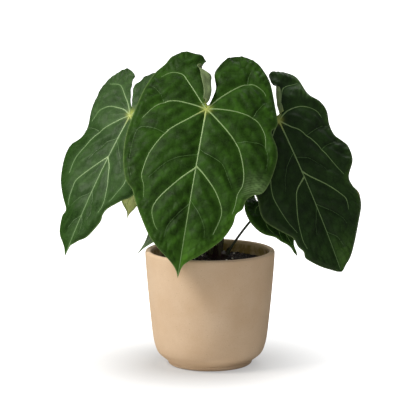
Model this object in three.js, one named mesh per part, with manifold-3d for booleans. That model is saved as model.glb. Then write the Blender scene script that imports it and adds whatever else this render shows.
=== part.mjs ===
// A potted Anthurium bullosum: six heart-shaped leaves on round stalks, rising from one short
// crown in a matte beige pot. Millimetres, +Z up, the front towards -Y.
// The origin is the middle of the pot's foot, on the surface that the pot stands on.
import * as THREE from "three";
import { mergeVertices } from "three/addons/utils/BufferGeometryUtils.js";
import Module from "manifold-3d";

const { degToRad: radians, smoothstep } = THREE.MathUtils;

const wasm = await Module();
wasm.setup();

// Pot: a thrown or cast cover pot of 14 cm, with a rounded bottom edge and a small foot ring
const RIM_RADIUS = 70;
const POT_HEIGHT = 125;
const WALL = 6;
const FOOT_RADIUS = 43.5;
const FOOT_WIDTH = 5;
const FOOT_RECESS = 3;
const FOOT_CHAMFER = 1.5;
const FLOOR_TOP = 11;
const RIM_SHOULDER = 124.1;
const RIM_ROUNDING = 0.6;
const POT_SIDES = 48;

// The pot's walls from the bottom up: radius and height
const OUTER_WALL = [[FOOT_RADIUS, 0], [45.3, 1.4], [45.8, 3.6], [46.9, 5], [51.6, 8.5], [56.3, 12.8],
  [59, 18.6], [61.4, 28], [63.4, 43], [66.1, 69.6], [68.4, 96.4], [69.6, 113], [RIM_RADIUS, 121.5]];
const INNER_WALL = [[48, FLOOR_TOP], [53, 19], [55.5, 28], [57.2, 40], [60.2, 70], [62.8, 105], [64, 121.5]];

// Potting mix: its surface lies a finger's width below the rim and is a little mounded
const MIX_TOP = 111.5;
const MIX_MOUND = 2.5;
const MIX_LUMP = 0.9;
const MIX_RINGS = [62.7, 60.5, 54, 45, 36, 27, 18, 9];
const MIX_SIDES = 32;

// What stands in or against another piece keeps this clear of it
const CLEARANCE = 0.3;

// Crown: the short stem that carries all the leaf stalks, a little behind and right of the middle
const CROWN = new THREE.Vector3(8, 12, 0);
const CROWN_RADIUS = 11.5;
const CROWN_TOP = 121;
const CROWN_BOTTOM = 92;
const CROWN_SIDES = 20;
const STALK_RING = 7.2;
const STALK_ROOT = 115;

// Bracts: papery scales that once wrapped the young leaves, standing between the stalks
const BRACTS = [
  { seat: 258, height: 26, lean: 0.22 },
  { seat: 25, height: 17, lean: 0.3 },
  { seat: 141, height: 20, lean: 0.3 },
];
const BRACT_RING = 9.4;
const BRACT_HALF_WIDTH = 3.2;
const BRACT_FLATNESS = 0.34;
const BRACT_ROOT = 108;
const BRACT_STEPS = 5;
const BRACT_SIDES = 8;
const BRACT_TIP = 0.14;

// Blades and stalks
const BLADE_THICKNESS = 0.9;
const RIB_FRONT = 0.35;
const RIB_BACK = 0.9;
const RIB_TAPER = 0.65;
const SINUS_APEX = -5;
const STALK_FOOT = 2.9;
const STALK_MIDDLE = 1.75;
const STALK_NECK = 2.3;
const STALK_GAP = 0.4;
const STALK_REACH = 0.14;
const STALK_STEPS = 12;
const STALK_SIDES = 8;
// A leaf shorter than this stands on a stalk thinner by a share
const GROWN_LENGTH = 100;
const SMALL_STALK = 0.75;
const FOOT_FLARE = 0.25;
const FOOT_SWEEP = 1.5;
const NECK_SWELLS = [0.9, 0.97];

// Veins of one half of a blade, as shares of its length: across from the midrib, and along it
// from the stalk towards the tip. Each is a rib at the back, of the given width at its start in
// millimetres, and the strongest stand out of the face too.
const MIDRIB = {
  width: 2.6, steps: 9, bothFaces: true,
  path: [[0, 0.005], [0, 0.3], [0, 0.65], [0, 0.96]],
};
const VEINS = [
  {
    width: 2, steps: 6, bothFaces: true,
    path: [[0, 0], [0.08, 0.07], [0.18, 0.16], [0.25, 0.27], [0.284, 0.39], [0.27, 0.52]],
  },
  { width: 1.8, steps: 5, path: [[0, 0], [0.1, -0.015], [0.2, -0.02], [0.285, 0.02], [0.345, 0.1]] },
  { width: 1.8, steps: 5, path: [[0, 0], [0.05, -0.06], [0.12, -0.145], [0.19, -0.205], [0.26, -0.2]] },
  { width: 1.6, steps: 4, path: [[0, 0.36], [0.08, 0.43], [0.15, 0.52], [0.192, 0.61]] },
];

// The inner margin of a lobe may be rolled up and over the face, or back by a minus angle: the
// first share of its width turns on a radius and then lies on as a flap. It grows between its
// starts, shares of the way from the lobe's top down to the notch, and is narrower past ROLL_WIDEST.
const NO_ROLL = { share: 0, angle: 0, radius: 1, starts: [0, 1] };
const ROLL_ENDS = [0.95, 1];
const ROLL_WIDEST = 0.44;
const ROLL_TAPER = 0.8;
// Where the close columns of a rolled blade stand, and where its even ones start
const ROLL_COLUMNS = [0, 0.09, 0.15, 0.2];
const ROLL_DEEPEST = 0.26;

// Waves run round the margin in a band this share of the leaf's length deep, counted by the angle
// round a centre on the midrib. The sides' curl is spread over a share of the length.
const WAVE_BAND = 0.09;
const WAVE_CENTRE = 0.25;
const WAVE_FLATTENING = 0.8;
const CURL_REACH = 0.45;
// The midrib lies still: the waves grow over this share of the length beside it
const WAVE_ROOT = 0.06;

// Rows across the blade stand closer where its outline turns fastest
const LOBE_ROW_CROWDING = 1.7;
const BODY_ROW_CROWDING = 1.15;

// Each leaf: where the stalk meets it, its length from there to the tip, and how it hangs.
// heading turns it about the vertical (0 faces the front, plus faces right), lean tips its face
// up, swing turns the tip to the right in its own plane, all in degrees. droop and lobeDroop are
// the arch of the midrib, fold the V at the midrib, curl the fall of the sides.
// Each half has the points of its edge, from the top of a lobe to the tip, then those of its
// sinus, from the notch up to that top, and the roll of its inner margin. The points are
// millimetres out from the midrib and along it, and a minus crosses over to the other half.
const half = (edge, sinus, roll = NO_ROLL) => ({
  top: edge[0][1],
  edgeLine: smoothLine(edge),
  sinusLine: smoothLine([[0, SINUS_APEX], ...sinus]),
  roll,
});
const FRONT = {
  name: "leaf_front", junction: [-3.7, -12, 278.2], length: 188,
  heading: 0, lean: 24, swing: -9.3, droop: 30, lobeDroop: 30, fold: 6, curl: 25,
  wave: 2.2, waves: 7, seat: 288, rise: 95, spread: 0.35,
  left: half(
    [[41, -70], [45.5, -68.4], [49.5, -65], [54, -55.5], [63, -42], [70, -21], [76, 8], [81, 36],
      [80, 64], [73, 91], [63, 103], [57, 116], [48, 132], [37, 149], [25, 161], [10, 173], [3, 181],
      [0, 188]],
    [[-9, -7], [-14.5, -18], [-15, -31], [-14.5, -40], [0, -45], [12.5, -49], [11.5, -58],
      [10, -61], [14.5, -66.8], [19, -68.8], [30, -69.2], [41, -70]],
    { share: 0.26, angle: 155, radius: 3, starts: [0.3, 0.43] },
  ),
  right: half(
    [[34.5, -76], [44, -73], [53, -64], [62, -51.5], [70, -30], [78, -1], [73, 12], [82, 30], [84, 45],
      [80, 69], [74, 83], [64, 89], [58, 96], [56, 106], [50, 113], [48, 125], [39, 142], [20, 161],
      [9, 169], [3, 176], [0, 188]],
    [[3, -18], [4, -30], [0, -45], [3.5, -55], [8, -64], [14, -71.5], [22, -74.6], [34.5, -76]],
    { share: 0.16, angle: -55, radius: 8, starts: [0.3, 0.5] },
  ),
};
const LEFT = {
  name: "leaf_left", junction: [-85.7, 30, 266.6], length: 168,
  heading: -38, lean: 28, swing: -9.4, droop: 12, lobeDroop: 40, fold: 6, curl: 25,
  wave: 2.6, waves: 6, seat: 168, rise: 90, spread: 0.35,
  left: half(
    [[44, -50.8], [51, -45.4], [63, -35.5], [68.5, -22], [66.2, 2], [53.5, 24], [50, 34], [52, 42],
      [62.5, 52], [65.5, 64], [62.5, 80], [54, 94], [33, 111], [23.2, 121], [24.5, 130], [20, 147],
      [10.5, 157], [6.8, 160.5], [3.4, 164.5], [0, 168]],
    [[10, -16], [20, -34], [22.8, -43], [28, -47.4], [36, -50], [44, -50.8]],
  ),
  right: half(
    [[24, -62], [45, -55], [60, -38], [68, -12], [70, 18], [67, 45], [60, 70], [53, 84], [41, 92],
      [30, 103], [27, 112], [28, 122], [21, 141], [10, 149], [2.5, 155], [0.8, 161], [0, 168]],
    [[-6, -14], [-17, -30], [-18, -40], [-12, -50], [4, -59], [24, -62]],
  ),
};
const RIGHT = {
  name: "leaf_right", junction: [73.8, 30, 261.2], length: 178,
  heading: 28, lean: 24, swing: 12.5, droop: 12, lobeDroop: 40, fold: 6, curl: 25,
  wave: 2.6, waves: 6, seat: 62, rise: 85, spread: 0.1,
  left: half(
    [[34, -62], [50, -54], [62, -38], [69, -12], [72, 20], [68, 46], [63, 69], [62.5, 76], [64.5, 90],
      [62, 101], [52, 115], [43, 126], [41, 137], [37, 144], [37.5, 151], [30, 159], [21, 166],
      [11, 172], [4, 176.5], [0, 178]],
    [[2, -20], [2, -36], [8, -52], [20, -60], [34, -62]],
  ),
  right: half(
    [[27, -57], [41, -52.5], [50.5, -42], [51.5, -19], [62.5, -7], [67, 5], [63, 20], [64.2, 33],
      [71, 41.5], [76, 50], [71.5, 66], [55.5, 82], [55.6, 93], [60.5, 101], [61.3, 107], [57.7, 119],
      [45.7, 134], [29.8, 151.5], [16.5, 166], [9, 172], [4, 176.5], [0, 178]],
    [[-0.8, -9], [0.5, -16.6], [2.9, -24], [5.2, -30], [8, -34.5], [13, -38], [13.5, -45], [17, -53],
      [27, -57]],
    { share: 0.2, angle: 150, radius: 2, starts: [0.4, 0.5] },
  ),
};
const LOWER_RIGHT_HALF = half(
  [[14, -19], [22, -12], [29, -3], [31, 8], [29, 19], [24, 30], [16, 38], [11, 44], [5, 50],
    [2.4, 56], [1.8, 62], [0, 67]],
  [[6, -5.6], [8.5, -7.5], [7.6, -11], [7, -14.5], [14, -19]],
);
const LOWER_RIGHT = {
  name: "leaf_lower_right", junction: [60.9, 20, 171.6], length: 67,
  heading: 30, lean: 30, swing: 17.9, droop: 20, lobeDroop: 30, fold: 8, curl: 20,
  wave: 1.4, waves: 5, seat: -12, rise: 42, spread: 0.93,
  left: LOWER_RIGHT_HALF, right: LOWER_RIGHT_HALF,
};

// The two young leaves behind show only their tips, so their halves follow one plain heart
const YOUNG_EDGE = [[0.2, -0.36], [0.32, -0.31], [0.41, -0.18], [0.43, 0], [0.41, 0.2], [0.36, 0.4],
  [0.28, 0.56], [0.19, 0.68], [0.1, 0.78], [0.04, 0.87], [0, 1]];
const YOUNG_SINUS = [[0.02, -0.14], [0.06, -0.27], [0.12, -0.34], [0.2, -0.36]];
const youngHalf = (length, breadth) => {
  const sized = ([out, along]) => [out * breadth * length, along * length];
  return half(YOUNG_EDGE.map(sized), YOUNG_SINUS.map(sized));
};
const BACK_LEFT_HALF = youngHalf(54, 1);
const LOW_LEFT_HALF = youngHalf(82, 0.565);
const BACK_LEFT = {
  name: "leaf_back_left", junction: [-75.8, 62, 194.3], length: 54,
  heading: 215, lean: 25, swing: 4.4, droop: 15, lobeDroop: 30, fold: 8, curl: 15,
  wave: 1.4, waves: 5, seat: 114, rise: 55, spread: 0.35,
  left: BACK_LEFT_HALF, right: BACK_LEFT_HALF,
};
const LOW_LEFT = {
  name: "leaf_low_left", junction: [-20.7, -5, 179.3], length: 82,
  heading: -30, lean: 30, swing: -35.1, droop: 20, lobeDroop: 30, fold: 10, curl: 10,
  wave: 1.4, waves: 5, seat: 228, rise: 45, spread: 0.35,
  left: LOW_LEFT_HALF, right: LOW_LEFT_HALF,
};
const GROWN = { lobeRows: 6, bodyRows: 14, columns: 6, veins: VEINS, leaves: [FRONT, LEFT, RIGHT] };
const YOUNG = {
  lobeRows: 4, bodyRows: 9, columns: 3, veins: [],
  leaves: [LOWER_RIGHT, BACK_LEFT, LOW_LEFT],
};

// Solids: a closed mesh as a Manifold, and back
function solid(geometry) {
  const plain = geometry.clone();
  plain.deleteAttribute("normal");
  plain.deleteAttribute("uv");
  const merged = mergeVertices(plain, 1e-4);
  const mesh = new wasm.Mesh({
    numProp: 3,
    vertProperties: new Float32Array(merged.attributes.position.array),
    triVerts: new Uint32Array(merged.index.array),
  });
  return new wasm.Manifold(mesh);
}

function geometryOf(manifold) {
  const mesh = manifold.getMesh();
  const geometry = new THREE.BufferGeometry();
  geometry.setAttribute("position", new THREE.BufferAttribute(new Float32Array(mesh.vertProperties), 3));
  geometry.setIndex(new THREE.BufferAttribute(new Uint32Array(mesh.triVerts), 1));
  return geometry;
}

// Joining can leave a pinhole shut inside: only the outer skin is kept, so it is filled
function largestPart(manifold) {
  return manifold.decompose().sort((a, b) => b.volume() - a.volume())[0];
}

function meshFrom(points, triangles) {
  const geometry = new THREE.BufferGeometry();
  geometry.setAttribute("position", new THREE.Float32BufferAttribute(points.flatMap((p) => p.toArray()), 3));
  geometry.setIndex(triangles.flat());
  return geometry;
}

// A round piece: [radius, height] pairs from the axis up the outside and back to the axis
function turned(profile, sides) {
  const geometry = new THREE.LatheGeometry(profile.map(([r, z]) => new THREE.Vector2(r, z)), sides);
  geometry.rotateX(Math.PI / 2);
  return geometry;
}

// A closed skin through rings of equal count, each end shut by a fan. Where the rings run the
// other way round, inward turns the faces out again.
function loft(rings, inward = false) {
  const sides = rings[0].length;
  const last = (rings.length - 1) * sides;
  const triangles = [];
  for (let start = 0; start < last; start += sides) {
    for (let k = 0; k < sides; k++) {
      const a = start + k;
      const b = start + (k + 1) % sides;
      triangles.push([a, b, b + sides], [a, b + sides, a + sides]);
    }
  }
  for (let k = 1; k < sides - 1; k++) {
    triangles.push([0, k + 1, k], [last, last + k, last + k + 1]);
  }
  return meshFrom(rings.flat(), inward ? triangles.map(([a, b, c]) => [a, c, b]) : triangles);
}

// The corners of a round or oval section, standing on two directions
function ring(middle, wide, deep, sides) {
  return Array.from({ length: sides }, (_, k) => {
    const turn = (k / sides) * 2 * Math.PI;
    return middle.clone().addScaledVector(wide, Math.cos(turn)).addScaledVector(deep, Math.sin(turn));
  });
}

// A smooth line through a few points of an outline, lowest place along first
function smoothLine(points) {
  const places = points.map(([out, along]) => new THREE.Vector3(out, along, 0));
  const line = new THREE.CatmullRomCurve3(places, false, "catmullrom").getPoints(points.length * 10);
  return line[0].y < line[line.length - 1].y ? line : line.reverse();
}

// How far out an outline lies at a place along the leaf
function outAt(line, along) {
  const next = line.findIndex((point) => point.y >= along);
  if (next <= 0) {
    return next === 0 ? line[0].x : line[line.length - 1].x;
  }
  const [low, high] = [line[next - 1], line[next]];
  const share = (along - low.y) / Math.max(high.y - low.y, 1e-6);
  return low.x + share * (high.x - low.x);
}

// A line that starts at an angle and bends evenly: how far it runs and rises in a length
function arc(length, angle, bend) {
  if (Math.abs(bend) < 1e-9) {
    return [length * Math.cos(angle), length * Math.sin(angle)];
  }
  const end = angle - bend * length;
  return [(Math.sin(angle) - Math.sin(end)) / bend, (Math.cos(end) - Math.cos(angle)) / bend];
}

function leafTurn(leaf) {
  return new THREE.Matrix4().makeRotationZ(radians(leaf.heading))
    .multiply(new THREE.Matrix4().makeRotationX(-radians(leaf.lean)))
    .multiply(new THREE.Matrix4().makeRotationY(-radians(leaf.swing)));
}

// A place on the blade: side is 1 right or -1 left, out and along are measured on the flat leaf,
// and lift stands off its face
function bladePoint(leaf, side, out, along, lift) {
  const droop = radians(leaf.droop);
  const bend = radians(along >= 0 ? leaf.droop : leaf.lobeDroop) / leaf.length;
  const [run, rise] = arc(along, droop / 2, bend);
  const slope = droop / 2 - bend * along;
  const [across, up] = arc(out, radians(leaf.fold), radians(leaf.curl) / (CURL_REACH * leaf.length));
  const face = up + lift;
  return new THREE.Vector3(side * across, -(rise + face * Math.cos(slope)), -(run - face * Math.sin(slope)))
    .applyMatrix4(leafTurn(leaf))
    .add(new THREE.Vector3(...leaf.junction));
}

function halfAt(halfLeaf, along) {
  const inner = along < SINUS_APEX ? outAt(halfLeaf.sinusLine, along) : 0;
  return [inner, outAt(halfLeaf.edgeLine, along) - inner];
}

// A place on the waved blade: share is 0 at the midrib or sinus and 1 at the edge
function placeOnBlade(leaf, side, share, along, stand = 0) {
  const halfLeaf = side > 0 ? leaf.right : leaf.left;
  const [inner, width] = halfAt(halfLeaf, along);
  const out = inner + share * width;
  const around = Math.atan2(out, WAVE_FLATTENING * (along - WAVE_CENTRE * leaf.length));
  const fromEdge = ((1 - share) * width) / (WAVE_BAND * leaf.length);
  const fromMidrib = out / (WAVE_ROOT * leaf.length);
  const wave = leaf.wave * Math.exp(-(fromEdge ** 2)) * (1 - Math.exp(-(fromMidrib ** 2)))
    * Math.sin(leaf.waves * around + leaf.waves + side);
  const lift = stand + wave;
  const place = (along - halfLeaf.top) / (SINUS_APEX - halfLeaf.top);
  const { share: rollShare, angle, radius, starts } = halfLeaf.roll;
  const depth = rollShare * Math.min(1, 1 - ROLL_TAPER * (place - ROLL_WIDEST));
  if (share >= depth || place >= 1) {
    return bladePoint(leaf, side, out, along, lift);
  }
  const started = smoothstep(place, ...starts) * (1 - smoothstep(place, ...ROLL_ENDS));
  const full = radians(Math.abs(angle)) * started;
  const past = (depth - share) * width;
  const turn = Math.min(full, past / radius);
  const flap = past - turn * radius;
  const back = radius * Math.sin(turn) + flap * Math.cos(turn);
  const over = Math.sign(angle) * (radius * (1 - Math.cos(turn)) + flap * Math.sin(turn));
  return bladePoint(leaf, side, inner + depth * width - back, along, over + lift);
}

// Columns are even, or stand close in the rolled margin so that its bend stays round
function columnShare(k, columns, rolled) {
  if (!rolled) {
    return k / columns;
  }
  const plain = columns - ROLL_COLUMNS.length;
  return ROLL_COLUMNS[k] ?? ROLL_DEEPEST + ((1 - ROLL_DEEPEST) * (k - ROLL_COLUMNS.length)) / plain;
}

// One blade: rows across both halves from the lobes' tops to the tip, the halves joined at the
// midrib below the sinus, the same triangles on both faces, and a thin edge all round
function bladeGeometry(leaf, { lobeRows, bodyRows, columns }) {
  const points = [];
  const triangles = [];
  const index = new Map();
  const rows = lobeRows + bodyRows;
  const rolled = leaf.left.roll.share > 0 || leaf.right.roll.share > 0;
  const alongAt = (top, row) => (row < lobeRows
    ? top + (SINUS_APEX - top) * (row / lobeRows) ** LOBE_ROW_CROWDING
    : leaf.length + (SINUS_APEX - leaf.length) * (1 - (row - lobeRows) / bodyRows) ** BODY_ROW_CROWDING);
  const vertex = (side, row, k) => {
    const pointed = row === 0 || row === rows;
    const shared = row === rows || (row >= lobeRows && k === 0);
    const key = [shared ? 0 : side, row, pointed ? 0 : k].join();
    if (!index.has(key)) {
      const top = (side > 0 ? leaf.right : leaf.left).top;
      const share = pointed ? 0 : columnShare(k, columns, rolled);
      index.set(key, points.push(placeOnBlade(leaf, side, share, alongAt(top, row))) - 1);
    }
    return index.get(key);
  };
  for (const side of [-1, 1]) {
    for (let row = 0; row < rows; row++) {
      for (let k = 0; k < columns; k++) {
        const [a, b, c, d] = [vertex(side, row, k), vertex(side, row, k + 1),
          vertex(side, row + 1, k + 1), vertex(side, row + 1, k)];
        const faces = [[a, b, c], [a, c, d]].filter((face) => new Set(face).size === 3);
        triangles.push(...(side > 0 ? faces.map(([p, q, r]) => [p, r, q]) : faces));
      }
    }
  }
  return thickened(points, triangles, BLADE_THICKNESS);
}

// A thin sheet gets its back face and its edge
function thickened(points, triangles, thickness) {
  const front = meshFrom(points, triangles);
  front.computeVertexNormals();
  const normal = front.attributes.normal;
  const count = points.length;
  const back = points.map((p, i) => p.clone()
    .addScaledVector(new THREE.Vector3().fromBufferAttribute(normal, i), -thickness));
  const edges = new Map();
  for (const [a, b, c] of triangles) {
    for (const [p, q] of [[a, b], [b, c], [c, a]]) {
      edges.set(`${p},${q}`, [p, q]);
    }
  }
  const faces = [...triangles, ...triangles.map(([a, b, c]) => [a + count, c + count, b + count])];
  for (const [p, q] of edges.values()) {
    if (!edges.has(`${q},${p}`)) {
      faces.push([q, p, p + count], [q, p + count, q + count]);
    }
  }
  return meshFrom([...points, ...back], faces);
}

// A rib: a slim bar along a vein, sunk in the blade, with a ridge at the back and maybe in front
function ribGeometry(leaf, side, { path, width, steps, bothFaces }) {
  const halfLeaf = side > 0 ? leaf.right : leaf.left;
  const places = path.map(([out, along]) => new THREE.Vector3(out, along, 0).multiplyScalar(leaf.length));
  const line = new THREE.CatmullRomCurve3(places);
  const onBlade = (out, along, stand) => {
    const [inner, reach] = halfAt(halfLeaf, along);
    return placeOnBlade(leaf, side, (out - inner) / reach, along, stand);
  };
  const sunk = -BLADE_THICKNESS / 2;
  const rings = [];
  for (let i = 0; i <= steps; i++) {
    const at = line.getPoint(i / steps);
    const ahead = line.getTangent(i / steps);
    const thin = 1 - RIB_TAPER * (i / steps);
    const beside = (width / 2) * thin;
    const ridge = bothFaces ? RIB_FRONT * thin : sunk / 2;
    rings.push([
      onBlade(at.x - beside * ahead.y, at.y + beside * ahead.x, sunk),
      onBlade(at.x, at.y, ridge),
      onBlade(at.x + beside * ahead.y, at.y - beside * ahead.x, sunk),
      onBlade(at.x, at.y, -BLADE_THICKNESS - RIB_BACK * thin),
    ]);
  }
  return loft(rings, side > 0);
}

function faceDirection(leaf) {
  const slope = radians(leaf.droop) / 2;
  return new THREE.Vector3(0, -Math.cos(slope), Math.sin(slope)).applyMatrix4(leafTurn(leaf));
}

// The stalk's line: out of the crown, up behind the blade, and forward into its back
function stalkCurve(leaf) {
  const seat = radians(leaf.seat);
  const root = CROWN.clone().add(new THREE.Vector3(Math.cos(seat), Math.sin(seat), 0)
    .multiplyScalar(STALK_RING)).setZ(STALK_ROOT);
  const face = faceDirection(leaf);
  const end = new THREE.Vector3(...leaf.junction)
    .addScaledVector(face, -BLADE_THICKNESS - RIB_BACK - STALK_GAP);
  const aim = end.clone().sub(root).setZ(0).multiplyScalar(leaf.spread / end.distanceTo(root));
  const start = new THREE.Vector3(aim.x, aim.y, 1).normalize();
  return new THREE.CubicBezierCurve3(
    root,
    root.clone().addScaledVector(start, leaf.rise),
    end.clone().addScaledVector(face, -leaf.length * STALK_REACH),
    end,
  );
}

// A round stalk, thick at its foot and a little swollen at the neck. grow widens it all round, and
// lengthens its foot, for the hole that it stands in.
function stalkGeometry(leaf, grow = 0) {
  const size = leaf.length > GROWN_LENGTH ? 1 : SMALL_STALK;
  const curve = stalkCurve(leaf);
  const frames = curve.computeFrenetFrames(STALK_STEPS, false);
  const rings = [];
  for (let i = 0; i <= STALK_STEPS; i++) {
    const share = i / STALK_STEPS;
    const foot = (STALK_FOOT - STALK_MIDDLE) * Math.max(0, 1 - share / FOOT_FLARE) ** FOOT_SWEEP;
    const neck = (STALK_NECK - STALK_MIDDLE) * smoothstep(share, ...NECK_SWELLS);
    const radius = size * (STALK_MIDDLE + foot + neck) + grow;
    const middle = curve.getPointAt(share).addScaledVector(frames.tangents[i], i === 0 ? -grow : 0);
    const wide = frames.normals[i].clone().multiplyScalar(radius);
    const deep = frames.binormals[i].clone().multiplyScalar(radius);
    rings.push(ring(middle, wide, deep, STALK_SIDES));
  }
  return loft(rings);
}

function bractGeometry({ seat, height, lean }) {
  const angle = radians(seat);
  const outward = new THREE.Vector3(Math.cos(angle), Math.sin(angle), 0);
  const across = new THREE.Vector3(-outward.y, outward.x, 0);
  const rings = [];
  for (let i = 0; i <= BRACT_STEPS; i++) {
    const share = i / BRACT_STEPS;
    const halfWidth = BRACT_HALF_WIDTH * Math.max(BRACT_TIP, 1 - share ** 2);
    const middle = CROWN.clone().addScaledVector(outward, BRACT_RING + lean * height * share ** 2)
      .setZ(BRACT_ROOT + height * share);
    const wide = across.clone().multiplyScalar(halfWidth);
    const deep = outward.clone().multiplyScalar(-halfWidth * BRACT_FLATNESS);
    rings.push(ring(middle, wide, deep, BRACT_SIDES));
  }
  return loft(rings);
}

function crownGeometry(leaves) {
  const profile = [[0, CROWN_BOTTOM], [9, CROWN_BOTTOM], [CROWN_RADIUS, 96], [CROWN_RADIUS, 111],
    [11, 116], [9, 119.4], [5, 120.7], [0, CROWN_TOP]];
  const body = turned(profile, CROWN_SIDES);
  body.translate(CROWN.x, CROWN.y, 0);
  let crown = solid(body);
  for (const bract of BRACTS) {
    crown = crown.add(solid(bractGeometry(bract)));
  }
  for (const leaf of leaves) {
    crown = crown.subtract(solid(stalkGeometry(leaf, CLEARANCE)));
  }
  return geometryOf(crown);
}

function potGeometry() {
  const recess = FOOT_RADIUS - FOOT_WIDTH;
  const profile = [
    [0, FOOT_RECESS], [recess - FOOT_CHAMFER, FOOT_RECESS], [recess, 0], ...OUTER_WALL,
    [RIM_RADIUS - RIM_ROUNDING, RIM_SHOULDER], [RIM_RADIUS - WALL / 2, POT_HEIGHT],
    [RIM_RADIUS - WALL + RIM_ROUNDING, RIM_SHOULDER], ...[...INNER_WALL].reverse(), [0, FLOOR_TOP - 1],
  ];
  return turned(profile, POT_SIDES);
}

// The mix fills the pot from the floor up, with a plain hole for the crown
function mixGeometry() {
  const wall = INNER_WALL.filter(([, z]) => z < MIX_TOP - 2)
    .map(([r, z]) => [r - CLEARANCE, z + 2 * CLEARANCE]);
  const top = MIX_RINGS.map((r) => [r, MIX_TOP]);
  const geometry = turned([[0, FLOOR_TOP + CLEARANCE], ...wall, ...top, [0, MIX_TOP]], MIX_SIDES);
  const position = geometry.attributes.position;
  const edge = MIX_RINGS[0];
  for (let i = 0; i < position.count; i++) {
    const [x, y, z] = [position.getX(i), position.getY(i), position.getZ(i)];
    const r = Math.hypot(x, y);
    if (z > MIX_TOP - 0.5 && r < edge - 0.5) {
      const lump = Math.sin(0.61 * x + 1.3) * Math.cos(0.53 * y) + 0.6 * Math.sin(0.37 * x - 0.71 * y);
      position.setZ(i, z + MIX_MOUND * (1 - (r / edge) ** 2) + MIX_LUMP * lump);
    }
  }
  const [holeRadius, holeBottom] = [CROWN_RADIUS + CLEARANCE, CROWN_BOTTOM - CLEARANCE];
  const hole = turned([[0, holeBottom], [holeRadius, holeBottom], [holeRadius, POT_HEIGHT],
    [0, POT_HEIGHT]], CROWN_SIDES);
  hole.translate(CROWN.x, CROWN.y, 0);
  return geometryOf(solid(geometry).subtract(solid(hole)));
}

// Colours, as the photograph shows them
const finish = (color, roughness) => new THREE.MeshStandardMaterial({ color, roughness, metalness: 0 });
const stoneware = finish("#cfb898", 0.75);
const mixFinish = finish("#2b211a", 0.95);
const crownFinish = finish("#4a3a2c", 0.8);
const leafFinish = finish("#1f3d1c", 0.5);
const stalkFinish = finish("#4c6b33", 0.5);

const plant = new THREE.Group();
const addMesh = (name, geometry, material) => {
  const mesh = new THREE.Mesh(geometry, material);
  mesh.name = name;
  plant.add(mesh);
};

const leaves = [...GROWN.leaves, ...YOUNG.leaves];
addMesh("pot", potGeometry(), stoneware);
addMesh("potting_mix", mixGeometry(), mixFinish);
addMesh("crown", crownGeometry(leaves), crownFinish);
for (const grade of [GROWN, YOUNG]) {
  for (const leaf of grade.leaves) {
    let blade = solid(bladeGeometry(leaf, grade));
    const ribs = [ribGeometry(leaf, 1, MIDRIB)];
    for (const vein of grade.veins) {
      ribs.push(ribGeometry(leaf, 1, vein), ribGeometry(leaf, -1, vein));
    }
    for (const rib of ribs) {
      blade = blade.add(solid(rib));
    }
    addMesh(`${leaf.name}_blade`, geometryOf(largestPart(blade)), leafFinish);
    addMesh(`${leaf.name}_stalk`, stalkGeometry(leaf), stalkFinish);
  }
}

export default plant;
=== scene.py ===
# A potted Anthurium bullosum: wavy heart-shaped leaves with pale raised ribs, on round stalks that
# rise from one short crown in a matte beige pot. Shapes are in millimetres, placed in metres.
import math

import bmesh
import bpy
import numpy as np
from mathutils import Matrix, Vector


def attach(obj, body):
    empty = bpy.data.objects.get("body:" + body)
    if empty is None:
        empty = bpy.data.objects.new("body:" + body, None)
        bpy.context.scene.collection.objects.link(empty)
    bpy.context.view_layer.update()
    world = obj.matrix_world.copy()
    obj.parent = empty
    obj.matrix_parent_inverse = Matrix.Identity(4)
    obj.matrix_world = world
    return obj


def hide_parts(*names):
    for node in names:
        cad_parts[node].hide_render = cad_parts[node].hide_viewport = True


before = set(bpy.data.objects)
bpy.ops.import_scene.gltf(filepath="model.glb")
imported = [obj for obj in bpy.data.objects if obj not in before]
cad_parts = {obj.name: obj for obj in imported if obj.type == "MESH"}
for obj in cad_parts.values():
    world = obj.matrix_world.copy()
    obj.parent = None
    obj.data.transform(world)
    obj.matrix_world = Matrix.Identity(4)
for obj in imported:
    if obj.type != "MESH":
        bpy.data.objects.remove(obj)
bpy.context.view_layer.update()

# The studio: a pale floor and backdrop, a soft window light from the upper left, weak ones from the
# front and from above and behind, and a long lens that looks a little down from 2.5 m away.
MM = 0.001
CAMERA_PLACE = Vector((0, -2.4657, 0.5726))
CAMERA_AIM = Vector((0, 0, 0.1682))
LENS_MM = 198.5
SENSOR_MM = 36
FARTHEST_SEEN = 50
FLOOR_SIZE = 12.0
BACKDROP_LIGHT = 1.0
ROOM_LIGHT = 0.2
# The floor looks white all over, but for a faint shadow round the pot, painted by its glow: the
# glow at two distances from a point a little left of the pot's middle, where the light comes from
GLOW_DISTANCES = (0.05, 0.244)
GLOW_STRENGTHS = (0.36, 1.45)
PAINTED_SHADOW_MIDDLE = (-0.012, 0, 0)
# Each lamp: its name, place, size in metres, watts and colour
LAMPS = [
    ("window_light", (-1.55, -0.75, 1.95), 0.8, 59, "#fffaf4"),
    ("front_fill", (-0.3, -2.6, 0.9), 1.6, 10, "#ffffff"),
    ("back_light", (0.5, 1.3, 1.7), 1.0, 12, "#ffffff"),
]


def linear(hex_colour):
    """An sRGB hex colour as linear red, green, blue and alpha."""
    parts = [int(hex_colour[i:i + 2], 16) / 255 for i in (1, 3, 5)]
    return [p / 12.92 if p <= 0.04045 else ((p + 0.055) / 1.055) ** 2.4 for p in parts] + [1.0]


def add_node(tree, kind, inputs=None, **settings):
    """Adds a node. An input is a value, or the output of another node that is linked to it."""
    node = tree.nodes.new(kind)
    for name, value in settings.items():
        setattr(node, name, value)
    for key, value in (inputs or {}).items():
        socket = node.inputs[key]
        if isinstance(value, bpy.types.NodeSocket):
            tree.links.new(value, socket)
        else:
            socket.default_value = value
    return node


def ranged(tree, value, start, end, low=0, high=1):
    """low where a value is at its start, high where it is at its end, and even between them."""
    return add_node(tree, "ShaderNodeMapRange", {0: value, 1: start, 2: end, 3: low, 4: high}).outputs[0]


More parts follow.
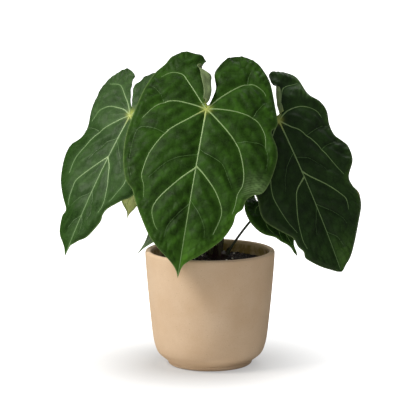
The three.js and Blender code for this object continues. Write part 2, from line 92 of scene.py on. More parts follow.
def times(tree, first, second):
    return add_node(tree, "ShaderNodeMath", {0: first, 1: second}, operation="MULTIPLY").outputs[0]


def mixed(tree, share, first, second):
    """A colour between two colours, each an sRGB hex or another node's output."""
    first, second = (linear(tone) if isinstance(tone, str) else tone for tone in (first, second))
    return add_node(tree, "ShaderNodeMix", {0: share, 6: first, 7: second}, data_type="RGBA").outputs[2]


def object_place(tree):
    return add_node(tree, "ShaderNodeTexCoord").outputs["Object"]


def new_material(name, values):
    """A material with nothing but its shader, which has some values of its own."""
    material = bpy.data.materials.new(name)
    material.use_nodes = True
    tree = material.node_tree
    tree.nodes.clear()
    shader = add_node(tree, "ShaderNodeBsdfPrincipled", values)
    add_node(tree, "ShaderNodeOutputMaterial", {"Surface": shader.outputs[0]})
    return material, tree, shader


def new_object(name, mesh):
    obj = bpy.data.objects.new(name, mesh)
    bpy.context.scene.collection.objects.link(obj)
    return obj


scene = bpy.context.scene
scene.view_settings.view_transform = "Standard"

camera = new_object("camera", bpy.data.cameras.new("camera"))
camera.data.lens = LENS_MM
camera.data.sensor_width = SENSOR_MM
camera.data.clip_end = FARTHEST_SEEN
camera.location = CAMERA_PLACE
camera.rotation_euler = (CAMERA_AIM - CAMERA_PLACE).to_track_quat("-Z", "Y").to_euler()
scene.camera = camera

for name, place, size, watts, colour in LAMPS:
    lamp = new_object(name, bpy.data.lights.new(name, "AREA"))
    lamp.data.size = size
    lamp.data.energy = watts
    lamp.data.color = linear(colour)[:3]
    lamp.location = place
    lamp.rotation_euler = (CAMERA_AIM - lamp.location).to_track_quat("-Z", "Y").to_euler()

world = bpy.data.worlds.new("studio")
world.use_nodes = True
tree = world.node_tree
tree.nodes.clear()
seen = add_node(tree, "ShaderNodeLightPath").outputs["Is Camera Ray"]
strength = ranged(tree, seen, 0, 1, ROOM_LIGHT, BACKDROP_LIGHT)
backdrop = add_node(tree, "ShaderNodeBackground", {0: linear("#ffffff"), 1: strength})
add_node(tree, "ShaderNodeOutputWorld", {0: backdrop.outputs[0]})
scene.world = world

half = FLOOR_SIZE / 2
floor_mesh = bpy.data.meshes.new("floor")
floor_mesh.from_pydata([(-half, -half, 0), (half, -half, 0), (half, half, 0), (-half, half, 0)], [],
                       [(0, 1, 2, 3)])
floor = new_object("floor", floor_mesh)
# Matte white board, as overexposed as in a product photograph. Its glow shows to the camera only,
# and there its own tone is darker, so that cast shadows stay as faint as the photograph's
board, tree, shader = new_material("matte_white_board", {
    "Roughness": 0.8, "Emission Color": linear("#ffffff")})
seen = add_node(tree, "ShaderNodeLightPath").outputs["Is Camera Ray"]
away = add_node(tree, "ShaderNodeVectorMath", {0: object_place(tree), 1: PAINTED_SHADOW_MIDDLE},
                operation="DISTANCE").outputs["Value"]
# The glow, low near the pot and rising away from it, paints the floor white and paints a faint shadow round
# the pot
glow = times(tree, ranged(tree, away, *GLOW_DISTANCES, *GLOW_STRENGTHS), seen)
tree.links.new(mixed(tree, seen, "#d8d6d2", "#8c8b89"), shader.inputs["Base Color"])
tree.links.new(glow, shader.inputs["Emission Strength"])
floor_mesh.materials.append(board)

# The pot: a 14 cm cover pot of unglazed stoneware, slip-cast, with a soft lower edge, a narrow
# foot ring and a rounded lip. It stands by itself, and everything else stands in it.
POT_SIDES = 192
# Its profile in radii and heights: under the foot, up the outside and down the inside, the floor
POT_FOOT = [(0, 3), (30, 3), (37, 3), (38.5, 0)]
POT_WALL = [(43.5, 0), (45.3, 1.4), (45.8, 3.6), (46.9, 5), (51.6, 8.5), (56.3, 12.8), (59, 18.6),
            (61.4, 28), (63.4, 43), (66.1, 69.6), (68.4, 96.4), (69.6, 113), (70, 121.5), (69.4, 124.1),
            (67, 125), (64.6, 124.1), (64, 121.5), (62.8, 105), (60.2, 70), (57.2, 40), (55.5, 28),
            (53, 19), (48, 11.6)]
POT_FLOOR = [(40, 10.8), (0, 10)]
CASTING_WAVER = 0.12
# The olive brown blots inside grow to their full between these radii and heights, in metres
INNER_BLOT_REACH = (0.0646, 0.064)
INNER_BLOT_TOP = (0.1225, 0.12)
INNER_BLOT_FOOT = (0.1, 0.104)


def smooth_line(points, steps):
    """A smooth line through a few points, with so many steps to each stretch."""
    p = np.array(points, float)
    p = np.vstack([2 * p[0] - p[1], p, 2 * p[-1] - p[-2]])
    t = np.linspace(0, 1, steps, endpoint=False)[:, None]
    stretches = [b + 0.5 * t * (c - a + t * (2 * a - 5 * b + 4 * c - d + t * (3 * b - a - 3 * c + d)))
                 for a, b, c, d in zip(p, p[1:], p[2:], p[3:])]
    return np.vstack(stretches + [p[-2:-1]])


def mesh_of(name, points, faces, marks=None):
    """A smooth mesh whose doubled points are merged. marks are named values, one for each point."""
    mesh = bpy.data.meshes.new(name)
    mesh.from_pydata(points.tolist(), [], faces)
    for mark, values in (marks or {}).items():
        is_place = values.ndim == 2
        layer = mesh.attributes.new(mark, "FLOAT_VECTOR" if is_place else "FLOAT", "POINT")
        layer.data.foreach_set("vector" if is_place else "value", values.astype(float).ravel())
    shape = bmesh.new()
    shape.from_mesh(mesh)
    bmesh.ops.remove_doubles(shape, verts=shape.verts, dist=1e-7)
    shape.to_mesh(mesh)
    shape.free()
    mesh.shade_smooth()
    return mesh


def grid_faces(rows, columns, gaps):
    """The faces between rows of points. A row has so many columns, and so many gaps between them."""
    return [(row * columns + a, row * columns + b, (row + 1) * columns + b, (row + 1) * columns + a)
            for row in range(rows - 1) for a, b in ((gap, (gap + 1) % columns) for gap in range(gaps))]


def turned(name, profile, sides, centre=(0, 0), waver=None):
    """A round body from radius and height pairs in millimetres, from the axis out and back to it.
    waver(turn, height) is added to the radius."""
    profile = np.array(profile, float)
    turn = np.arange(sides) * 2 * math.pi / sides
    radius = np.repeat(profile[:, :1], sides, axis=1)
    height = np.repeat(profile[:, 1:], sides, axis=1)
    if waver is not None:
        radius = radius + waver(turn[None, :], height) * (radius > 1)
    x = radius * np.cos(turn) + centre[0]
    y = radius * np.sin(turn) + centre[1]
    points = np.stack([x, y, height], -1).reshape(-1, 3) * MM
    return mesh_of(name, points, grid_faces(len(profile), sides, sides))


def pot_waver(turn, height):
    return CASTING_WAVER * (np.sin(2 * turn + 0.6) + 0.5 * np.sin(3 * turn + height / 40))


pot_profile = POT_FOOT + smooth_line(POT_WALL, 6).tolist() + POT_FLOOR
pot = new_object("stoneware_pot", turned("stoneware_pot", pot_profile, POT_SIDES, waver=pot_waver))


def noise(tree, place, scale, detail, roughness=0.5):
    """Cloudy noise around 0.5, with so many clouds to a unit of length."""
    return add_node(tree, "ShaderNodeTexNoise", {
        "Vector": place, "Scale": scale, "Detail": detail, "Roughness": roughness}).outputs[0]


def cells(tree, place, scale, feature="F1"):
    """How far places lie from the seeds of random cells, or from the cells' borders."""
    node = add_node(tree, "ShaderNodeTexVoronoi", {"Vector": place, "Scale": scale}, feature=feature)
    return node.outputs["Distance"]


def lay_on(tree, shader, tone, height, strength, depth):
    """Gives a shader its colour, and fine relief from a pattern of heights so many metres deep."""
    bump = add_node(tree, "ShaderNodeBump", {"Height": height, "Strength": strength, "Distance": depth})
    tree.links.new(tone, shader.inputs["Base Color"])
    tree.links.new(bump.outputs[0], shader.inputs["Normal"])


# Unglazed stoneware: dry and open, so it has no shine. Its sandy body shows a soft cloudiness,
# a grain of about 0.6 mm, drawn coarser than the real clay so that it shows, and dark iron specks.
stoneware, tree, shader = new_material("unglazed_stoneware", {
    "Roughness": 0.78, "Specular IOR Level": 0.3})
place = object_place(tree)
clouds = ranged(tree, noise(tree, place, 28, 4, 0.55), 0.3, 0.7)
grain = noise(tree, place, 1100, 3, 0.6)
specks = ranged(tree, cells(tree, place, 260), 0.07, 0.12, 0.35, 0)
body = mixed(tree, clouds, "#d4b898", "#dec6aa")
body = mixed(tree, ranged(tree, grain, 0.3, 0.7, 0, 0.35), body, "#c4a684")
body = mixed(tree, specks, body, "#8d7354")
# The inside is olive brown in blots, up to just under the lip
level = add_node(tree, "ShaderNodeSeparateXYZ", {0: place}).outputs["Z"]
ring = add_node(tree, "ShaderNodeVectorMath", {0: place, 1: (1, 1, 0)}, operation="MULTIPLY")
reach = add_node(tree, "ShaderNodeVectorMath", {0: ring.outputs[0]}, operation="LENGTH").outputs["Value"]
inner_blots = ranged(tree, reach, *INNER_BLOT_REACH)
inner_blots = times(tree, inner_blots, ranged(tree, level, *INNER_BLOT_TOP))
inner_blots = times(tree, inner_blots, ranged(tree, level, *INNER_BLOT_FOOT))
inner_blots = times(tree, inner_blots, ranged(tree, noise(tree, place, 110, 3, 0.6), 0.38, 0.6, 0.35, 1))
lay_on(tree, shader, mixed(tree, inner_blots, body, "#9a7f4a"), grain, 0.18, 0.0004)
pot.data.materials.append(stoneware)
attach(pot, "root")
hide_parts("pot")

# The potting mix: dark moist peat and fine bark, mounded in the pot a finger's width below the
# rim, with loose bark chips, crumbs and a few white grains of perlite lying on it.
MIX_TOP = 111.5
MIX_MOUND = 2.5
MIX_EDGE = 62.7
MIX_LUMP = 0.9
MIX_CRUMB = 0.7
MIX_SIDES = 150
MIX_RINGS = 60
MIX_BODY = [(0, 11.3), (47.7, 12), (52.7, 19.6), (55.2, 28.6), (56.9, 40.6), (59.9, 70.6),
            (62.5, 105.6)]


def mix_height(x, y):
    """The height of the mix at a place, in millimetres."""
    lump = np.sin(0.61 * x + 1.3) * np.cos(0.53 * y) + 0.6 * np.sin(0.37 * x - 0.71 * y)
    crumb = np.sin(2.3 * x + 1.7 * np.sin(1.1 * y)) * np.sin(2.1 * y + 1.3 * np.sin(1.7 * x))
    crumb += 0.6 * np.sin(4.7 * x + y) * np.sin(4.1 * y - x)
    inside = 1 - (np.hypot(x, y) / MIX_EDGE) ** 2
    return MIX_TOP + MIX_MOUND * inside + (MIX_LUMP * lump + MIX_CRUMB * crumb) * np.clip(6 * inside, 0, 1)


mix_rings = [(radius, MIX_TOP) for radius in np.linspace(MIX_EDGE, 0, MIX_RINGS)]
mix_mesh = turned("potting_mix_bed", MIX_BODY + mix_rings, MIX_SIDES)
bed = np.empty(len(mix_mesh.vertices) * 3)
mix_mesh.vertices.foreach_get("co", bed)
bed = bed.reshape(-1, 3) / MM
top = bed[:, 2] > MIX_TOP - 0.01
bed[top, 2] = mix_height(bed[top, 0], bed[top, 1])
mix_mesh.vertices.foreach_set("co", (bed * MM).ravel())
mix = new_object("potting_mix_bed", mix_mesh)

# Moist peat and bark: nearly black where it is wet, brown on the drier crumbs, quite rough
peat, tree, shader = new_material("moist_peat", {"Roughness": 0.85, "Specular IOR Level": 0.25})
place = object_place(tree)
patches = ranged(tree, noise(tree, place, 160, 5, 0.65), 0.35, 0.72)
lay_on(tree, shader, mixed(tree, patches, "#0f0b08", "#2e2118"), noise(tree, place, 700, 3), 0.7, 0.0012)
mix_mesh.materials.append(peat)
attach(mix, "root")
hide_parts("potting_mix")


def plain_copy(obj):
    """Turns what the object's modifiers make into its plain mesh, and removes the modifiers."""
    graph = bpy.context.evaluated_depsgraph_get()
    mesh = bpy.data.meshes.new_from_object(obj.evaluated_get(graph))
    obj.modifiers.clear()
    obj.data = mesh
    return obj


def run_tree(obj, tree, values):
    """Runs a Geometry Nodes tree on an object, with its named inputs set, and keeps the mesh."""
    modifier = obj.modifiers.new(tree.name, "NODES")
    modifier.node_group = tree
    for item in tree.interface.items_tree:
        if item.in_out == "INPUT" and item.name in values:
            modifier[item.identifier] = values[item.name]
    return plain_copy(obj)


def new_tree(name, inputs):
    """A Geometry Nodes tree with named inputs, each a name and a socket kind, and one output."""
    tree = bpy.data.node_groups.new(name, "GeometryNodeTree")
    tree.interface.new_socket("Geometry", in_out="INPUT", socket_type="NodeSocketGeometry")
    for title, kind in inputs:
        tree.interface.new_socket(title, in_out="INPUT", socket_type="NodeSocket" + kind)
    tree.interface.new_socket("Geometry", in_out="OUTPUT", socket_type="NodeSocketGeometry")
    return tree, add_node(tree, "NodeGroupInput").outputs


def end_tree(tree, geometry, material):
    """Ends a tree: its geometry is made real, given a material and handed out."""
    real = add_node(tree, "GeometryNodeRealizeInstances", {"Geometry": geometry})
    coated = add_node(tree, "GeometryNodeSetMaterial", {"Geometry": real.outputs[0], "Material": material})
    add_node(tree, "NodeGroupOutput", {"Geometry": coated.outputs[0]})


def scatter_tree():
    """Strews copies of one shape over a bed, each turned and sized by chance, and half sunk in."""
    tree, given = new_tree("strewn_on_mix", [
        ("Shape", "Object"), ("Spacing", "Float"), ("Density", "Float"), ("Smallest", "Float"),
        ("Largest", "Float"), ("Tilt", "Float"), ("Seed", "Int"), ("Material", "Material")])
    allowed = add_node(tree, "GeometryNodeInputNamedAttribute", {"Name": "bare"}, data_type="FLOAT")
    points = add_node(tree, "GeometryNodeDistributePointsOnFaces", {
        "Mesh": given["Geometry"], "Distance Min": given["Spacing"], "Density Max": given["Density"],
        "Density Factor": allowed.outputs[0], "Seed": given["Seed"]}, distribute_method="POISSON")
    shape = add_node(tree, "GeometryNodeObjectInfo", {"Object": given["Shape"]})
    lean = add_node(tree, "ShaderNodeCombineXYZ", {0: given["Tilt"], 1: given["Tilt"], 2: math.pi})
    back = add_node(tree, "ShaderNodeVectorMath", {0: lean.outputs[0], "Scale": -1}, operation="SCALE")
    turn = add_node(tree, "FunctionNodeRandomValue", {
        0: back.outputs[0], 1: lean.outputs[0], "Seed": given["Seed"]}, data_type="FLOAT_VECTOR")
    size = add_node(tree, "FunctionNodeRandomValue", {
        2: given["Smallest"], 3: given["Largest"], "Seed": given["Seed"]}, data_type="FLOAT")
    copies = add_node(tree, "GeometryNodeInstanceOnPoints", {
        "Points": points.outputs["Points"], "Instance": shape.outputs["Geometry"],
        "Rotation": turn.outputs[0], "Scale": size.outputs[1]})
    end_tree(tree, copies.outputs[0], given["Material"])
    return tree


def rough_lump(name, fineness, stretch, roughness, seed):
    """A small rough lump a millimetre across, stretched and knocked out of true."""
    shape = bmesh.new()
    bmesh.ops.create_icosphere(shape, subdivisions=fineness, radius=0.5 * MM)
    chance = np.random.default_rng(seed)
    for vertex in shape.verts:
        vertex.co *= 1 + roughness * chance.uniform(-1, 1)
        vertex.co = Vector(value * size for value, size in zip(vertex.co, stretch))
    mesh = bpy.data.meshes.new(name)
    shape.to_mesh(mesh)
    shape.free()
    return new_object(name, mesh)


# Orchid bark: flat splinters of conifer bark, red brown when dry and dark when wet
bark, tree, shader = new_material("conifer_bark", {"Roughness": 0.8, "Specular IOR Level": 0.3})
tones = noise(tree, object_place(tree), 130, 4, 0.7)
lay_on(tree, shader, mixed(tree, ranged(tree, tones, 0.35, 0.7), "#140d08", "#4a3322"), tones, 0.6, 0.001)

# Perlite: puffed volcanic glass, chalk white and full of tiny pits
perlite, tree, shader = new_material("puffed_perlite", {"Roughness": 0.9})
pits = cells(tree, object_place(tree), 1400)
tree.links.new(mixed(tree, pits, "#a8a294", "#ece8de"), shader.inputs["Base Color"])

# What lies on the mix: its name, shape, fineness of mesh and roughness, then its spacing, density,
# sizes and tilt on the bed, its seed and its finish. Nothing lies further out than the bare edge
STREWN = [
    ("bark_chips", (6.2, 3.4, 1.6), 1, 0.3, 4.2, 9e4, (0.55, 1.15), 0.5, 7, bark),
    ("peat_crumbs", (1.9, 1.4, 1.1), 1, 0.35, 1.7, 4e5, (0.5, 1.3), 1.5, 21, peat),
    ("perlite_grains", (2.6, 2.3, 1.9), 2, 0.2, 14, 6e3, (0.7, 1.4), 1.5, 94, perlite),
]
BARE_EDGE = 59
strewing = scatter_tree()
open_bed = (bed[:, 2] > MIX_TOP - 2) & (np.hypot(bed[:, 0], bed[:, 1]) < BARE_EDGE)
for name, stretch, fineness, roughness, spacing, density, sizes, tilt, seed, finish in STREWN:
    lump = rough_lump(name + "_shape", fineness, stretch, roughness, seed)
    piece = new_object(name, mix_mesh.copy())
    bare = piece.data.attributes.new("bare", "FLOAT", "POINT")
    bare.data.foreach_set("value", open_bed.astype(float))
    run_tree(piece, strewing, {
        "Shape": lump, "Spacing": spacing * MM, "Density": density, "Smallest": sizes[0],
        "Largest": sizes[1], "Tilt": tilt, "Seed": seed, "Material": finish})
    bpy.data.objects.remove(lump)
    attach(piece, "root")

# The crown: the short fleshy stem that all the stalks grow from, ringed by old leaf scars, with
# the brown papery bracts that once wrapped each young leaf still standing on it.
CROWN_PLACE = (8, 12)
CROWN_SHAPE = [(0, 92), (9, 92), (11.3, 96), (11.4, 104), (11.5, 111), (11, 116), (9, 119.4),
               (5, 120.7), (0, 121)]
CROWN_SIDES = 72
SCAR_DEPTH = 0.5
SCAR_SPACING = 3.2
# Each bract: where it sits round the crown in degrees, its height, its lean outwards and its width
BRACTS = [(258, 26, 0.22, 3.4), (25, 17, 0.3, 3.2), (141, 20, 0.3, 3.2), (200, 14, 0.25, 3.0),
          (85, 14, 0.25, 3.0)]
BRACT_RING = 9.8
BRACT_ROOT = 108
BRACT_CUP = 2.2
BRACT_THICKNESS = 0.3


def scars(turn, height):
    ring = np.abs(np.sin(math.pi * (height + 1.6 * np.sin(turn + height / 3)) / SCAR_SPACING))
    return SCAR_DEPTH * (ring - 1) + 0.35 * np.sin(5 * turn + height)


crown_mesh = turned("crown_stem", smooth_line(CROWN_SHAPE, 10), CROWN_SIDES, CROWN_PLACE, scars)
crown = new_object("crown_stem", crown_mesh)


def bract(seat, height, lean, width):
    """One dry scale: a cupped blade that narrows to a point and leans out."""
    angle = math.radians(seat)
    outward = np.array([math.cos(angle), math.sin(angle), 0])
    across = np.array([-outward[1], outward[0], 0])
    up = np.linspace(0, 1, 25)[:, None]
    side = np.linspace(-1, 1, 13)[None, :]
    breadth = width * (1 - up ** 2.2) ** 0.7 * side
    cup = BRACT_CUP * (1 - up * 0.5) * side ** 2
    crease = 0.12 * np.cos(side * 14) * (1 - up)
    reach = BRACT_RING + lean * height * up ** 2 - cup * width / 3 + crease
    rise = BRACT_ROOT + height * (up - 0.03 * side ** 2) + 0 * side
    centre = np.array([*CROWN_PLACE, 0])
    points = (centre + reach[..., None] * outward + breadth[..., None] * across
              + rise[..., None] * np.array([0, 0, 1]))
    faces = grid_faces(up.size, side.size, side.size - 1)
    scale = new_object("bract", mesh_of("bract", points.reshape(-1, 3) * MM, faces))
    wall = scale.modifiers.new("wall", "SOLIDIFY")
    wall.thickness = BRACT_THICKNESS * MM
    wall.offset = 0
    return plain_copy(scale)


def join_to(first, others):
    """Joins other objects into the first."""
    with bpy.context.temp_override(active_object=first, selected_editable_objects=[first, *others]):
        bpy.ops.object.join()


# Crown tissue: dry brown skin over green, and bracts like brown paper, dark red where they are thick
crown_skin, tree, shader = new_material("dry_crown_skin", {"Roughness": 0.7, "Specular IOR Level": 0.2})
place = object_place(tree)
fibres = add_node(tree, "ShaderNodeMapping", {"Vector": place, "Scale": (1400, 1400, 160)})
streaks = noise(tree, fibres.outputs[0], 1, 3)
blots = ranged(tree, noise(tree, place, 180, 3), 0.4, 0.65)
tone = mixed(tree, ranged(tree, streaks, 0.3, 0.7), "#1f1310", "#3d3722")
lay_on(tree, shader, mixed(tree, blots, tone, "#301a1f"), streaks, 0.5, 0.0005)
join_to(crown, [bract(*sizes) for sizes in BRACTS])
crown.data.materials.clear()
crown.data.materials.append(crown_skin)
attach(crown, "root")
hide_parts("crown")

# The leaves: thin firm blades with a velvety face, held by pale ribs that stand out on both
# sides. Each grows from its stalk just below the notch of its heart, arches and waves by itself.
# Lengths are in millimetres and angles in degrees. heading turns a leaf about the vertical, lean
# tips its face up, swing turns the tip in its own plane, droop and lobe_droop arch the midrib,
# fold is the V at the midrib and curl the fall of the sides. rims is how pale the margin is on
# the left (-1) and right (1) half and rim_reach how far in. That grows between the two shares of
# the length in rim_span, and upper_rim is how much of it shows above them.
SINUS_APEX = -5
BLADE_THICKNESS = 0.5
# The inner margin of a lobe may be rolled up and over the face, or back by a minus angle. A half's
# roll is the share of its width that is rolled, how far in degrees, on what radius, and the
# shares of the way from the lobe's top to the notch between which it grows
NO_ROLL = (0, 0, 1, (0, 1))
ROLL_ENDS = (0.975, 1.0)
ROLL_WIDEST = 0.44
ROLL_TAPER = 0.8
# A half's edge and sinus are its outer margin and its inner one beside the notch, as places out
# from the midrib and along it. Ribs are given so in thousandths of the leaf's length
MIDRIB = [(0, 0), (0, 300), (0, 650), (0, 985)]
FRONT = {
    "name": "front", "node": "leaf_front", "junction": (-3.7, -12, 278.2), "length": 188,
    "heading": 0, "lean": 24, "swing": -9.3, "droop": 30, "lobe_droop": 30, "fold": 6, "curl": 25,
    "wave": 2.2, "waves": 7, "seat": 288, "rise": 95, "spread": 0.35, "seed": 3,
    "rims": {-1: 0.15, 1: 1}, "rim_reach": 7, "rim_span": (0.3, 0.8), "upper_rim": 0.25,
    "left": {
        "edge": [(41, -70), (45.5, -68.4), (49.5, -65), (54, -55.5), (63, -42), (70, -21), (76, 8),
            (81, 36), (80, 64), (73, 91), (63, 103), (57, 116), (48, 132), (37, 149), (25, 161),
            (10, 173), (3, 181), (0, 188)],
        "sinus": [(-9, -7), (-14.5, -18), (-15, -31), (-14.5, -40), (0, -45), (12.5, -49), (11.5, -58),
            (10, -61), (14.5, -66.8), (19, -68.8), (30, -69.2), (41, -70)],
        "roll": (0.26, 155, 3, (0.3, 0.43)),
        "ribs": [
            [(0, 0), (83, 75), (183, 163), (229, 229), (275, 327), (294, 431), (291, 473), (272, 520),
             (263, 581)],
            [(0, 0), (98, -16), (202, -20), (282, 19), (335, 83), (354, 110)],
            [(0, 0), (39, -45), (134, -167), (175, -212), (240, -219), (293, -186)],
            [(0, 370), (77, 449), (171, 568), (202, 642), (183, 713), (156, 755)]],
        "side_ribs": [
            [(0, 290), (56, 307), (125, 337), (175, 375), (256, 469)],
            [(204, 188), (283, 169), (351, 166), (379, 216), (384, 304), (380, 397), (353, 479)],
            [(246, -11), (263, -37), (295, -78), (332, -104)],
            [(0, 580), (50, 640), (100, 720), (110, 790)]],
    },
    "right": {
        "edge": [(34.5, -76), (44, -73), (53, -64), (62, -51.5), (70, -30), (78, -1), (73, 12), (82, 30),
            (84, 45), (80, 69), (74, 83), (64, 89), (58, 96), (56, 106), (50, 113), (48, 125),
            (39, 142), (20, 161), (9, 169), (3, 176), (0, 188)],
        "sinus": [(3, -18), (4, -30), (0, -45), (3.5, -55), (8, -64), (14, -71.5), (22, -74.6),
            (34.5, -76)],
        "roll": (0.16, -55, 8, (0.3, 0.5)),
        "ribs": [
            [(0, 0), (49, 40), (156, 139), (221, 220), (265, 334), (276, 422), (257, 485), (252, 556),
             (243, 604)],
            [(0, 0), (76, -11), (191, -10), (288, 15), (349, 90), (372, 181)],
            [(0, 0), (64, -85), (164, -187), (230, -219), (298, -193), (320, -164)],
            [(0, 360), (45, 398), (127, 486), (179, 581), (181, 644), (156, 733)]],
        "side_ribs": [
            [(0, 255), (49, 283), (141, 329), (196, 420), (220, 463)],
            [(203, 180), (283, 164), (346, 163), (372, 181), (393, 239), (393, 314)],
            [(268, 1), (294, -62), (322, -110)],
            [(204, -220), (204, -261), (212, -302)],
            [(0, 560), (60, 630), (100, 700), (110, 760)]],
    },
}
LEFT = {
    "name": "left", "node": "leaf_left", "junction": (-85.7, 30, 266.6), "length": 168,
    "heading": -38, "lean": 28, "swing": -9.4, "droop": 12, "lobe_droop": 40, "fold": 6, "curl": 25,
    "wave": 2.6, "waves": 6, "seat": 168, "rise": 90, "spread": 0.35, "seed": 11,
    "rims": {-1: 1, 1: 0.6}, "rim_reach": 24, "rim_span": (0, 0.3), "upper_rim": 0.2,
    "left": {
        "edge": [(44, -50.8), (51, -45.4), (63, -35.5), (68.5, -22), (66.2, 2), (53.5, 24), (50, 34),
            (52, 42), (62.5, 52), (65.5, 64), (62.5, 80), (54, 94), (33, 111), (23.2, 121),
            (24.5, 130), (20, 147), (10.5, 157), (6.8, 160.5), (3.4, 164.5), (0, 168)],
        "sinus": [(10, -16), (20, -34), (22.8, -43), (28, -47.4), (36, -50), (44, -50.8)],
        "roll": NO_ROLL,
        "ribs": [
            [(0, 0), (62, 53), (159, 157), (222, 283), (264, 387), (257, 488)],
            [(0, 0), (66, -22), (132, -23), (194, -17), (240, 4), (278, 38), (298, 110)],
            [(0, 0), (61, -66), (121, -112), (187, -161), (233, -181), (321, -172)],
            [(0, 306), (47, 363), (139, 482), (166, 532), (157, 608), (130, 686)]],
        "side_ribs": [
            [(0, 556), (43, 598), (83, 638), (110, 688)],
            [(183, 163), (238, 159), (296, 174), (305, 218)],
            [(0, 168), (62, 221), (104, 299), (136, 366)],
            [(0, 720), (40, 770), (60, 830)]],
    },
    "right": {
        "edge": [(24, -62), (45, -55), (60, -38), (68, -12), (70, 18), (67, 45), (60, 70), (53, 84),
            (41, 92), (30, 103), (27, 112), (28, 122), (21, 141), (10, 149), (2.5, 155), (0.8, 161),
            (0, 168)],
        "sinus": [(-6, -14), (-17, -30), (-18, -40), (-12, -50), (4, -59), (24, -62)],
        "roll": NO_ROLL,
        "ribs": [
            [(0, 0), (80, 70), (160, 180), (215, 330), (225, 424), (213, 478), (166, 577)],
            [(0, 0), (100, -15), (200, -20), (285, 20), (340, 100)],
            [(0, 0), (50, -60), (120, -145), (190, -205), (270, -200)],
            [(0, 311), (48, 366), (79, 431), (109, 494), (135, 600), (130, 670)]],
        "side_ribs": [
            [(0, 190), (60, 240), (120, 310), (160, 380)],
            [(0, 550), (40, 610), (70, 680), (80, 740)],
            [(160, 180), (240, 150), (310, 160), (350, 220)],
            [(0, 720), (40, 780), (50, 840)]],
    },
}
RIGHT = {
    "name": "right", "node": "leaf_right", "junction": (73.8, 30, 261.2), "length": 178,
    "heading": 28, "lean": 24, "swing": 12.5, "droop": 12, "lobe_droop": 40, "fold": 6, "curl": 25,
    "wave": 2.6, "waves": 6, "seat": 62, "rise": 85, "spread": 0.1, "seed": 19,
    "rims": {-1: 0.1, 1: 1}, "rim_reach": 7, "rim_span": (0.3, 0.8), "upper_rim": 1,
    "left": {
        "edge": [(34, -62), (50, -54), (62, -38), (69, -12), (72, 20), (68, 46), (63, 69), (62.5, 76),
            (64.5, 90), (62, 101), (52, 115), (43, 126), (41, 137), (37, 144), (37.5, 151),
            (30, 159), (21, 166), (11, 172), (4, 176.5), (0, 178)],
        "sinus": [(2, -20), (2, -36), (8, -52), (20, -60), (34, -62)],
        "roll": NO_ROLL,
        "ribs": [
            [(0, 0), (80, 70), (170, 170), (228, 330), (248, 389), (255, 465), (235, 595), (205, 689)],
            [(0, 0), (100, -15), (200, -20), (285, 20), (345, 100)],
            [(0, 0), (50, -60), (120, -145), (190, -205), (270, -200)],
            [(0, 380), (84, 441), (118, 497), (161, 613), (188, 734), (180, 800)]],
        "side_ribs": [
            [(0, 220), (70, 270), (130, 340), (170, 430)],
            [(0, 580), (50, 660), (80, 740)],
            [(170, 170), (250, 150), (320, 170), (360, 240)]],
    },
    "right": {
        "edge": [(27, -57), (41, -52.5), (50.5, -42), (51.5, -19), (62.5, -7), (67, 5), (63, 20),
            (64.2, 33), (71, 41.5), (76, 50), (71.5, 66), (55.5, 82), (55.6, 93), (60.5, 101),
            (61.3, 107), (57.7, 119), (45.7, 134), (29.8, 151.5), (16.5, 166), (9, 172), (4, 176.5),
            (0, 178)],
        "sinus": [(-0.8, -9), (0.5, -16.6), (2.9, -24), (5.2, -30), (8, -34.5), (13, -38), (13.5, -45),
            (17, -53), (27, -57)],
        "roll": (0.2, 150, 2, (0.32, 0.56)),
        "ribs": [
            [(0, 0), (57, 60), (109, 104), (184, 227), (247, 385), (273, 445)],
            [(0, 0), (68, -33), (127, -43), (188, -40), (241, -20), (286, 18), (302, 64)],
            [(0, 0), (63, -91), (104, -150), (150, -189), (256, -192)],
            [(0, 345), (40, 392), (143, 490), (213, 576), (220, 611), (208, 660)]],
        "side_ribs": [
            [(0, 560), (78, 628), (129, 683), (151, 735)],
            [(134, 145), (198, 129), (270, 119), (316, 129)],
            [(0, 250), (42, 266), (97, 301), (164, 383)],
            [(193, 257), (250, 240), (320, 238)],
            [(0, 740), (50, 790), (70, 850)]],
    },
}
YOUNG_MARGIN = {"wave": 1.4, "waves": 5, "rims": {-1: 1, 1: 1}, "rim_reach": 7, "rim_span": (0.3, 0.8),
                "upper_rim": 1}
YOUNG_RIBS = {
    "ribs": [
        [(0, 0), (100, 100), (200, 220), (250, 360), (220, 500)],
        [(0, 0), (120, -20), (220, -10), (300, 60)],
        [(0, 0), (70, -100), (150, -190), (220, -200)],
        [(0, 360), (70, 450), (120, 560), (120, 660)]],
    "side_ribs": [
        [(0, 200), (60, 250), (120, 340)],
        [(0, 600), (40, 680), (50, 760)]],
    "roll": NO_ROLL,
}
LOWER_RIGHT_HALF = {
    "edge": [(14, -19), (22, -12), (29, -3), (31, 8), (29, 19), (24, 30), (16, 38), (11, 44), (5, 50),
        (2.4, 56), (1.8, 62), (0, 67)],
    "sinus": [(6, -5.6), (8.5, -7.5), (7.6, -11), (7, -14.5), (14, -19)], **YOUNG_RIBS,
}
LOWER_RIGHT = {
    "name": "lower_right", "node": "leaf_lower_right", "junction": (60.9, 20, 171.6), "length": 67,
    "heading": 30, "lean": 30, "swing": 17.9, "droop": 20, "lobe_droop": 30, "fold": 8, "curl": 20,
    "seat": -12, "rise": 42, "spread": 0.93, "seed": 23, **YOUNG_MARGIN,
    "left": LOWER_RIGHT_HALF, "right": LOWER_RIGHT_HALF,
}
# The two young leaves behind follow one plain heart, drawn for a leaf one long
YOUNG_EDGE = [(0.2, -0.36), (0.32, -0.31), (0.41, -0.18), (0.43, 0), (0.41, 0.2), (0.36, 0.4),
              (0.28, 0.56), (0.19, 0.68), (0.1, 0.78), (0.04, 0.87), (0, 1)]
YOUNG_SINUS = [(0.02, -0.14), (0.06, -0.27), (0.12, -0.34), (0.2, -0.36)]


def young_half(length, breadth):
    edge, sinus = ([(out * breadth * length, along * length) for out, along in line]
                   for line in (YOUNG_EDGE, YOUNG_SINUS))
    return {"edge": edge, "sinus": sinus, **YOUNG_RIBS}


